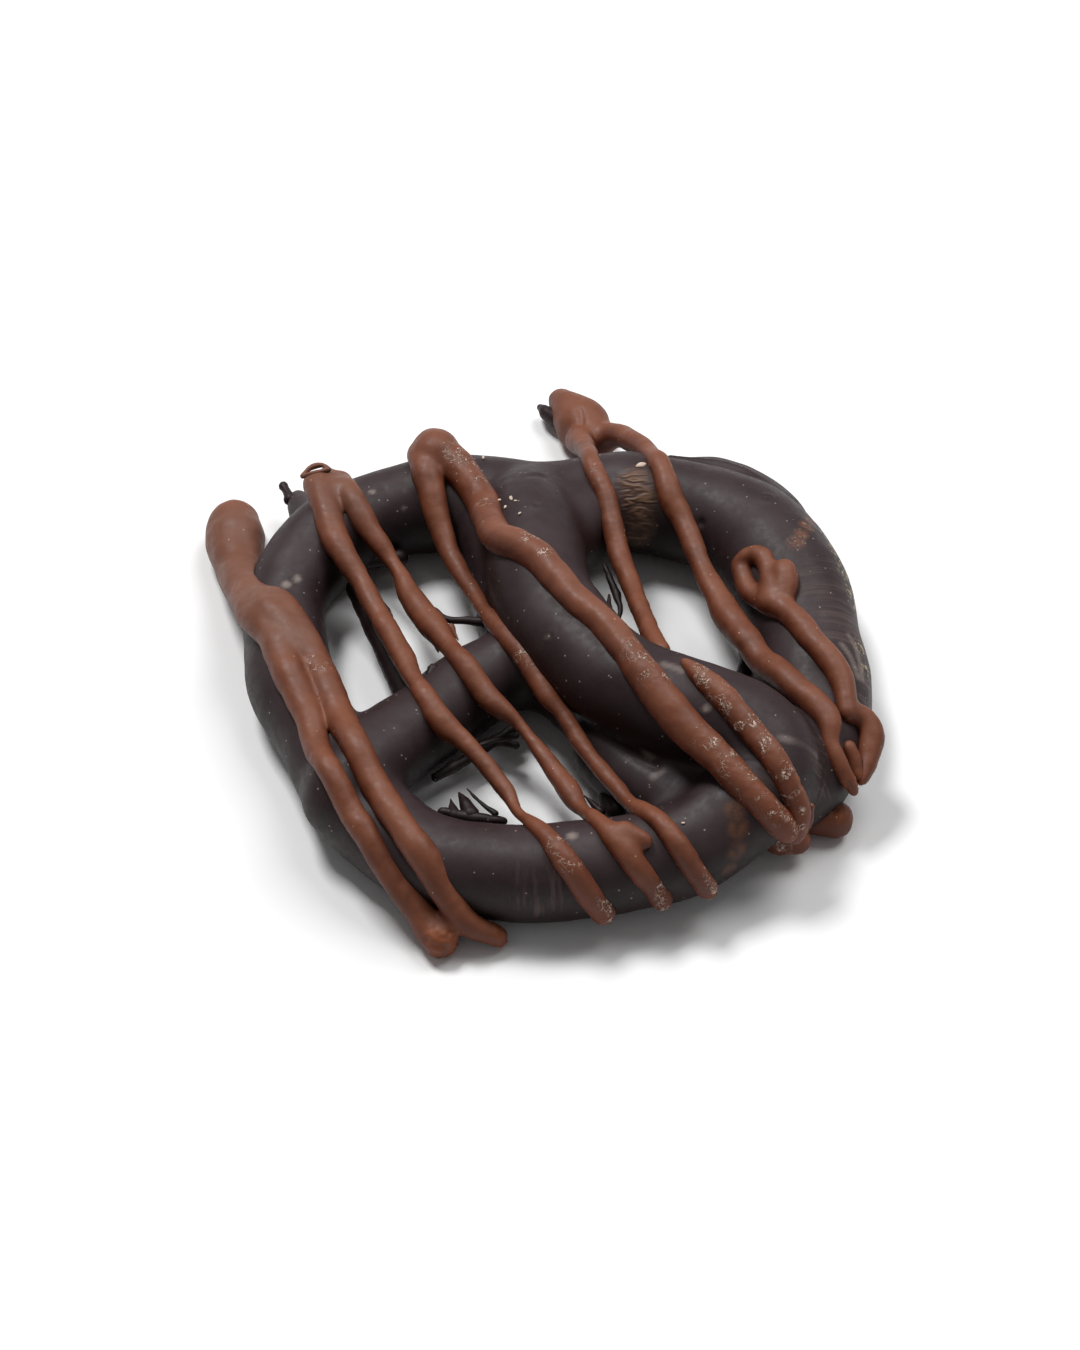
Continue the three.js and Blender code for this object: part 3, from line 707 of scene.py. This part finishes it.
def facing_up(node):
    """1 where the surface faces up, 0 where it is upright or faces down."""
    normal = node("NewGeometry", output="Normal")
    height = node("SeparateXYZ", output=2, i0=normal)
    return node("MapRange", SOFT, Value=height, i1=0.0, i2=1.0)


def fine_dots(node, place, scale, radius, share):
    """Scattered dots, radius in millimetres, in that share of cells of size 1 / scale."""
    tint = node("TexVoronoi", output="Color", Vector=place, Scale=scale)
    away = node("TexVoronoi", output="Distance", Vector=place, Scale=scale)
    red = node("SeparateXYZ", i0=tint)
    kept = node("MapRange", SOFT, Value=red, i1=1 - share, i2=1.02 - share)
    edge = radius * scale
    dot = node("MapRange", SOFT, Value=away, i1=edge * 0.6, i2=edge, i3=1.0, i4=0.0)
    return node("Math", TIMES, i0=dot, i1=kept)


def dark_chocolate(name, bloom):
    """Dark couverture, dipped and left to set: nearly black, satin, greyed on top by bloom and by a
    painted sheen of the light from above, both scaled by bloom.
    """
    material, node = new_material(name)
    names = (*COAT_PAINT, "along", "scratched")
    mark = {name: node("Attribute", {"attribute_name": name}, "Fac") for name in names}
    place = millimetres(node)
    broad = node("TexNoise", Vector=place, Scale=0.11, Detail=3.0)
    mottle = node("TexNoise", Vector=place, Scale=0.8, Detail=4.0, Roughness=0.6)
    cloud = node("MapRange", SOFT, Value=broad, i1=0.35, i2=0.65)
    colour = node("Mix", COLOURS, 2, i0=cloud, i6="#170a0b", i7="#200e0e")
    stain = node("MapRange", SOFT, Value=mottle, i1=0.4, i2=0.75, i3=0.0, i4=0.3)
    colour = node("Mix", COLOURS, 2, i0=stain, i6=colour, i7="#301c1a")
    # The tops are greyed partly by bloom dust and partly by a painted sheen: lighter where the surface
    # faces up, as if lit from above.
    top_dust_and_light_share = node("MapRange", SOFT, Value=broad, i1=0.35, i2=0.65, i3=0.75, i4=0.35)
    top_dust_and_painted_light = node("Math", TIMES, i0=facing_up(node), i1=top_dust_and_light_share)
    top_dust_and_painted_light = node("Math", TIMES, i0=top_dust_and_painted_light, i1=bloom)
    colour = node("Mix", COLOURS, 2, i0=top_dust_and_painted_light, i6=colour, i7="#3d2f32")

    # Ribs run round the rope where the coat drained, 0.6 mm apart.
    slow = node("VectorMath", {"operation": "SCALE"}, i0=place, Scale=0.1)
    length = node("CombineXYZ", i0=mark["along"], i1=0.0, i2=0.0)
    around = node("VectorMath", PLUS, i0=length, i1=slow)
    ribs = node("TexNoise", Vector=around, Scale=1.5, Detail=3.0, Roughness=0.6)
    ribs = node("Math", TIMES, i0=ribs, i1=mark["ribbed"])
    pale_ribs = node("MapRange", SOFT, Value=ribs, i1=0.4, i2=0.75, i3=0.0, i4=0.5)
    colour = node("Mix", COLOURS, 2, i0=pale_ribs, i6=colour, i7="#63504c")

    # A rubbed patch has crinkled into folds, tan on their crests.
    spread = node("VectorMath", TIMES, i0=place, i1=(0.3, 1.0, 1.0))
    folds = node("TexNoise", Vector=spread, Scale=0.5, Detail=2.0, Roughness=0.6)
    folds = node("Math", {"operation": "PINGPONG"}, i0=folds, i1=0.1)
    folds = node("MapRange", SOFT, Value=folds, i1=0.0, i2=0.1, i3=0.3, i4=0.75)
    crinkled = node("Math", TIMES, i0=folds, i1=mark["worn"])
    colour = node("Mix", COLOURS, 2, i0=crinkled, i6=colour, i7="#7b5c46")

    # Smears, rusty streaks and flecks of dried cocoa butter.
    streaks = node("MapRange", SOFT, Value=mottle, i1=0.35, i2=0.6, i3=0.25, i4=0.8)
    smear = node("Math", TIMES, i0=mark["smear"], i1=streaks)
    colour = node("Mix", COLOURS, 2, i0=smear, i6=colour, i7="#5f3c28")
    rust = node("Math", TIMES, i0=mark["rust"], i1=streaks)
    colour = node("Mix", COLOURS, 2, i0=rust, i6=colour, i7="#6b4436")
    speckle = node("TexNoise", Vector=place, Scale=1.5, Detail=4.0, Roughness=0.7)
    flecks = node("MapRange", SOFT, Value=speckle, i1=0.52, i2=0.58)
    rusty = node("Math", TIMES, i0=mark["rust"], i1=0.3)
    creamy = node("Math", PLUS, i0=mark["cream"], i1=rusty)
    cream = node("Math", TIMES, i0=creamy, i1=flecks)
    cream = node("Math", TIMES, i0=cream, i1=0.75)
    colour = node("Mix", COLOURS, 2, i0=cream, i6=colour, i7="#bda981")
    # Pale dried spots, the pale scratches with one painted edge highlight among them, and fine pale
    # specks.
    spots = node("Math", TIMES, i0=mark["spotted"], i1=0.5)
    lines = node("Math", TIMES, i0=mark["scratched"], i1=0.3)
    pale = node("Math", LARGER, i0=spots, i1=lines)
    dots = node("Math", TIMES, i0=fine_dots(node, place, 0.8, 0.15, 0.5), i1=0.6)
    pale = node("Math", LARGER, i0=pale, i1=dots)
    colour = node("Mix", COLOURS, 2, i0=pale, i6=colour, i7="#a3958c")

    normal = node("Bump", Height=ribs, Distance=0.1 * METRES)
    grain = node("TexNoise", Vector=place, Scale=1.6, Detail=3.0, Roughness=0.6)
    normal = node("Bump", Height=grain, Distance=0.02 * METRES, Normal=normal)
    normal = node("Bump", Height=crinkled, Distance=0.3 * METRES, Normal=normal)
    gloss = node("MapRange", SOFT, Value=mottle, i1=0.3, i2=0.7, i3=0.48, i4=0.6)
    shader = node(
        "BsdfPrincipled", Base_Color=colour, Normal=normal, Roughness=gloss, Specular_IOR_Level=0.28
    )
    node("OutputMaterial", {}, None, Surface=shader)
    return material


def milk_chocolate():
    """Milk couverture, piped on warm: red-brown, satin, with a white crust of bloom in places and its
    tops painted lighter as if lit from above.
    """
    material, node = new_material("milk_chocolate_drizzle")
    mark = {name: node("Attribute", {"attribute_name": name}, "Fac") for name in MILK_PAINT}
    place = millimetres(node)
    broad = node("TexNoise", Vector=place, Scale=0.2, Detail=3.0)
    mottle = node("TexNoise", Vector=place, Scale=1.2, Detail=4.0, Roughness=0.6)
    cloud = node("MapRange", SOFT, Value=broad, i1=0.35, i2=0.65)
    colour = node("Mix", COLOURS, 2, i0=cloud, i6="#522310", i7="#632d15")
    stain = node("MapRange", SOFT, Value=mottle, i1=0.4, i2=0.75, i3=0.0, i4=0.3)
    colour = node("Mix", COLOURS, 2, i0=stain, i6=colour, i7="#7a4428")
    # Tops are painted lighter where the surface faces up: a painted highlight of the light from above.
    top_dust_and_light_share = node("MapRange", SOFT, Value=broad, i1=0.3, i2=0.7, i3=0.5, i4=0.8)
    top_dust_and_painted_light = node("Math", TIMES, i0=facing_up(node), i1=top_dust_and_light_share)
    colour = node("Mix", COLOURS, 2, i0=top_dust_and_painted_light, i6=colour, i7="#7b4a34")
    grey = node("MapRange", SOFT, Value=broad, i1=0.3, i2=0.7, i3=0.35, i4=0.65)
    grey = node("Math", TIMES, i0=mark["dusty"], i1=grey)
    colour = node("Mix", COLOURS, 2, i0=grey, i6=colour, i7="#6c4a3c")
    torn = node("MapRange", SOFT, Value=mottle, i1=0.3, i2=0.6, i3=0.1, i4=0.5)
    torn = node("Math", TIMES, i0=mark["raw"], i1=torn)
    colour = node("Mix", COLOURS, 2, i0=torn, i6=colour, i7="#8c4a24")

    # The crust is flakes of fat bloom, 1 mm and less across, joined by fine cracks.
    bend = node("TexNoise", output="Color", Vector=place, Scale=0.7, Detail=3.0)
    bent = node("VectorMath", {"operation": "MULTIPLY_ADD"}, i0=bend, i1=(2.6, 2.6, 2.6), i2=place)
    cracks = node("TexVoronoi", {"feature": "DISTANCE_TO_EDGE"}, Vector=bent, Scale=1.3)
    cracks = node("MapRange", SOFT, Value=cracks, i1=0.01, i2=0.06, i3=1.0, i4=0.0)
    speckle = node("TexNoise", Vector=bent, Scale=1.1, Detail=5.0, Roughness=0.75)
    flakes = node("MapRange", SOFT, Value=speckle, i1=0.56, i2=0.61)
    clumps = node("TexNoise", Vector=place, Scale=0.55, Detail=2.0)
    clumps = node("MapRange", SOFT, Value=clumps, i1=0.48, i2=0.56)
    crust = node("Math", LARGER, i0=cracks, i1=flakes)
    crust = node("Math", TIMES, i0=crust, i1=clumps)
    crust = node("Math", TIMES, i0=crust, i1=mark["bloom"])
    cover = node("Math", TIMES, i0=crust, i1=0.95)
    colour = node("Mix", COLOURS, 2, i0=cover, i6=colour, i7="#e8cdbb")
    dots = node("Math", TIMES, i0=fine_dots(node, place, 0.55, 0.14, 0.5), i1=0.6)
    colour = node("Mix", COLOURS, 2, i0=dots, i6=colour, i7="#cfa58c")

    grain = node("TexNoise", Vector=place, Scale=1.2, Detail=3.0, Roughness=0.6)
    normal = node("Bump", Height=grain, Distance=0.03 * METRES)
    normal = node("Bump", Height=crust, Distance=0.12 * METRES, Normal=normal)
    gloss = node("MapRange", SOFT, Value=mottle, i1=0.3, i2=0.7, i3=0.46, i4=0.62)
    shader = node(
        "BsdfPrincipled", Base_Color=colour, Normal=normal, Roughness=gloss, Specular_IOR_Level=0.35
    )
    node("OutputMaterial", {}, None, Surface=shader)
    return material


def crumb_butter():
    """Cocoa butter that dried in crumbs: waxy, cream to pinkish tan, dull."""
    material, node = new_material("cocoa_butter_crumbs")
    mottle = node("TexNoise", Vector=millimetres(node), Scale=2.0, Detail=2.0)
    colour = node("Mix", COLOURS, 2, i0=mottle, i6="#b89a86", i7="#e6d6c8")
    shader = node("BsdfPrincipled", Base_Color=colour, Roughness=0.6, Specular_IOR_Level=0.3)
    node("OutputMaterial", {}, None, Surface=shader)
    return material


# ---- Pieces ---------------------------------------------------------------------------


def line_tree(points):
    """Closely spaced points along a line, for finding how far from it a vertex is."""
    return station_tree(stations([(*point, 1.0, None) for point in points], LINE_GAP))


def crease_depth(creases, point):
    """What creases, as (width, depth, tree), add to the surface at a point."""
    height = 0.0
    for width, depth, tree in creases:
        away = tree.find(point)[2]
        if away < width * MARK_REACH:
            height += depth * hump(away, width)
    return height


def coat(material):
    bm = bmesh.new()
    for run in rope_runs.values():
        sweep(bm, run, COAT_SIDES)
    for run in pool_runs.values():
        sweep(bm, run, COAT_SIDES)
    skin = fused(bm, COAT_CELL)
    soften(skin, COAT_SOFTENING, COAT_REGAIN)

    rope = [station for run in rope_runs.values() for station in run]
    tree = station_tree(rope)
    creases = [(width, depth, line_tree(points)) for width, depth, points in COAT_CREASES]
    scratch_and_highlight_lines = [line_tree(points) for points in COAT_SCRATCHES_AND_HIGHLIGHT]

    def relief(vert):
        point = vert.co
        height = noise.noise(point / 8) * 0.3 + noise.noise(point / 3) * 0.08
        for *middle, size, depth in COAT_BUMPS:
            away = math.dist(middle, point)
            if away < size * MARK_REACH:
                height += depth * hump(away, size)
        for *middle, size, depth in COAT_RINGS:
            away = math.dist(middle, point)
            if away < size * MARK_REACH:
                height += depth * (hump(away - size, size * 0.35) - hump(away, size * 0.8) * 0.8)
        return height + crease_depth(creases, point)

    def scratched(vert):
        away = min(tree.find(vert.co)[2] for tree in scratch_and_highlight_lines)
        return smooth_step(0.75, 0.2, away)

    painted(skin, "along", lambda vert: along_rope(rope, tree, vert.co))
    displaced(skin, relief)
    for name, marks in COAT_PAINT.items():
        painted(skin, name, lambda vert, marks=marks: near_marks(marks, vert.co, 3))
    painted(skin, "scratched", scratched)
    return finished(skin, "dark_coat", material)


def drizzle_pour(name, strands, material):
    bm = bmesh.new()
    for rows in strands.values():
        sweep(bm, laid_strand(rows), DRIZZLE_SIDES)
    skin = fused(bm, DRIZZLE_CELL)
    soften(skin, DRIZZLE_SOFTENING, DRIZZLE_REGAIN)
    creases = [(width, depth, line_tree(points)) for width, depth, points in DRIZZLE_CREASES]

    def relief(vert):
        point = vert.co
        height = noise.noise(point / 3.5) * 0.2 + noise.noise(point / 1.3) * 0.05
        broken = near_marks(MILK_PAINT["raw"], point, 2)
        if broken:
            height += broken * noise.noise(point * 1.4) * 0.25
        crusted = near_marks(MILK_PAINT["bloom"], point, 2)
        if crusted:
            height += crusted * abs(noise.noise(point * 1.7)) * 0.12
        return height + crease_depth(creases, point)

    displaced(skin, relief)
    for layer, marks in MILK_PAINT.items():
        painted(skin, layer, lambda vert, marks=marks: near_marks(marks, vert.co, 2))
    return finished(skin, name, material)


def fine_strands(name, strands, material):
    """Threads and small sharp forms, swept and left as they are."""
    bm = bmesh.new()
    for rows in strands.values():
        sweep(bm, stations([(*row, None) for row in rows], THREAD_GAP), THREAD_SIDES)
    bmesh.ops.recalc_face_normals(bm, faces=bm.faces)
    displaced(bm, lambda vert: noise.noise(vert.co / 1.2) * 0.12)
    for layer, marks in MILK_PAINT.items():
        painted(bm, layer, lambda vert, marks=marks: near_marks(marks, vert.co, 2))
    return finished(bm, name, material)


def crumbs(material):
    bm = bmesh.new()
    for x, y, z, length, turn in CRUMBS:
        size = Matrix.Diagonal((length, length * 0.55, length * 0.35, 1.0))
        place = Matrix.Translation((x, y, z)) @ Matrix.Rotation(math.radians(turn), 4, "Z") @ size
        bmesh.ops.create_icosphere(bm, subdivisions=2, radius=1.0, matrix=place)
    displaced(bm, lambda vert: noise.noise(vert.co * 2.3) * 0.12)
    return finished(bm, "crumbs", material)


milk = milk_chocolate()
pieces = [
    coat(dark_chocolate("dark_chocolate_coat", 1.0)),
    *(drizzle_pour(name, strands, milk) for name, strands in DRIZZLE.items()),
    fine_strands("drizzle_trims", DRIZZLE_TRIMS, milk),
    fine_strands(
        "dark_threads", THREADS, dark_chocolate("dark_chocolate_threads", 0.1)
    ),
    crumbs(crumb_butter()),
]
for piece in pieces:
    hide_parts("pretzel")

# ---- Table, light and camera ----------------------------------------------------------

CAMERA_ELEVATION = 47
CAMERA_DISTANCE = 330
CAMERA_TARGET = Vector((0.0, 0.0, 6.0))
LENS = 68.64
SENSOR_WIDTH = 36.0
NEAREST_SEEN = 0.01
ROOM_LIGHT = 0.19
TABLE_DROP = 0.02


def table_top():
    """Matt white paper, seamless, a hair below the flat underside."""
    bm = bmesh.new()
    bmesh.ops.create_grid(bm, x_segments=1, y_segments=1, size=1.5)
    mesh = bpy.data.meshes.new("table_top")
    bm.to_mesh(mesh)
    bm.free()
    material, node = new_material("white_paper")
    grain = node("TexNoise", Vector=millimetres(node), Scale=0.02, Detail=2.0)
    colour = node("Mix", COLOURS, 2, i0=grain, i6="#fafafa", i7="#f7f7f7")
    shader = node("BsdfPrincipled", Base_Color=colour, Roughness=0.9, Specular_IOR_Level=0.0)
    node("OutputMaterial", {}, None, Surface=shader)
    mesh.materials.append(material)
    floor = bpy.data.objects.new("table_top", mesh)
    floor.location.z = -TABLE_DROP * METRES
    bpy.context.scene.collection.objects.link(floor)


def area_light(name, place, size, power):
    """A square soft light at a place in metres, turned towards the pretzel."""
    light = bpy.data.lights.new(name, "AREA")
    light.size = size
    light.energy = power
    holder = bpy.data.objects.new(name, light)
    holder.location = place
    holder.rotation_euler = (-Vector(place)).to_track_quat("-Z", "Y").to_euler()
    bpy.context.scene.collection.objects.link(holder)


def camera():
    target = PLAN_TO_FRAME @ CAMERA_TARGET
    tilt = math.radians(CAMERA_ELEVATION)
    away = Vector((0, -math.cos(tilt), math.sin(tilt))) * CAMERA_DISTANCE * METRES
    data = bpy.data.cameras.new("camera")
    data.lens = LENS
    data.sensor_width = SENSOR_WIDTH
    data.clip_start = NEAREST_SEEN
    holder = bpy.data.objects.new("camera", data)
    holder.location = target + away
    holder.rotation_euler = (-away).to_track_quat("-Z", "Y").to_euler()
    bpy.context.scene.collection.objects.link(holder)
    bpy.context.scene.camera = holder


table_top()
area_light("window", (-0.35, 0.45, 0.95), 0.3, 9)
area_light("skylight", (0.42, 0.4, 0.9), 0.6, 6)
world = bpy.data.worlds.new("room")
world.use_nodes = True
world.node_tree.nodes["Background"].inputs["Color"].default_value = linear("#ffffff")
world.node_tree.nodes["Background"].inputs["Strength"].default_value = ROOM_LIGHT
bpy.context.scene.world = world
bpy.context.scene.view_settings.view_transform = "Standard"
camera()
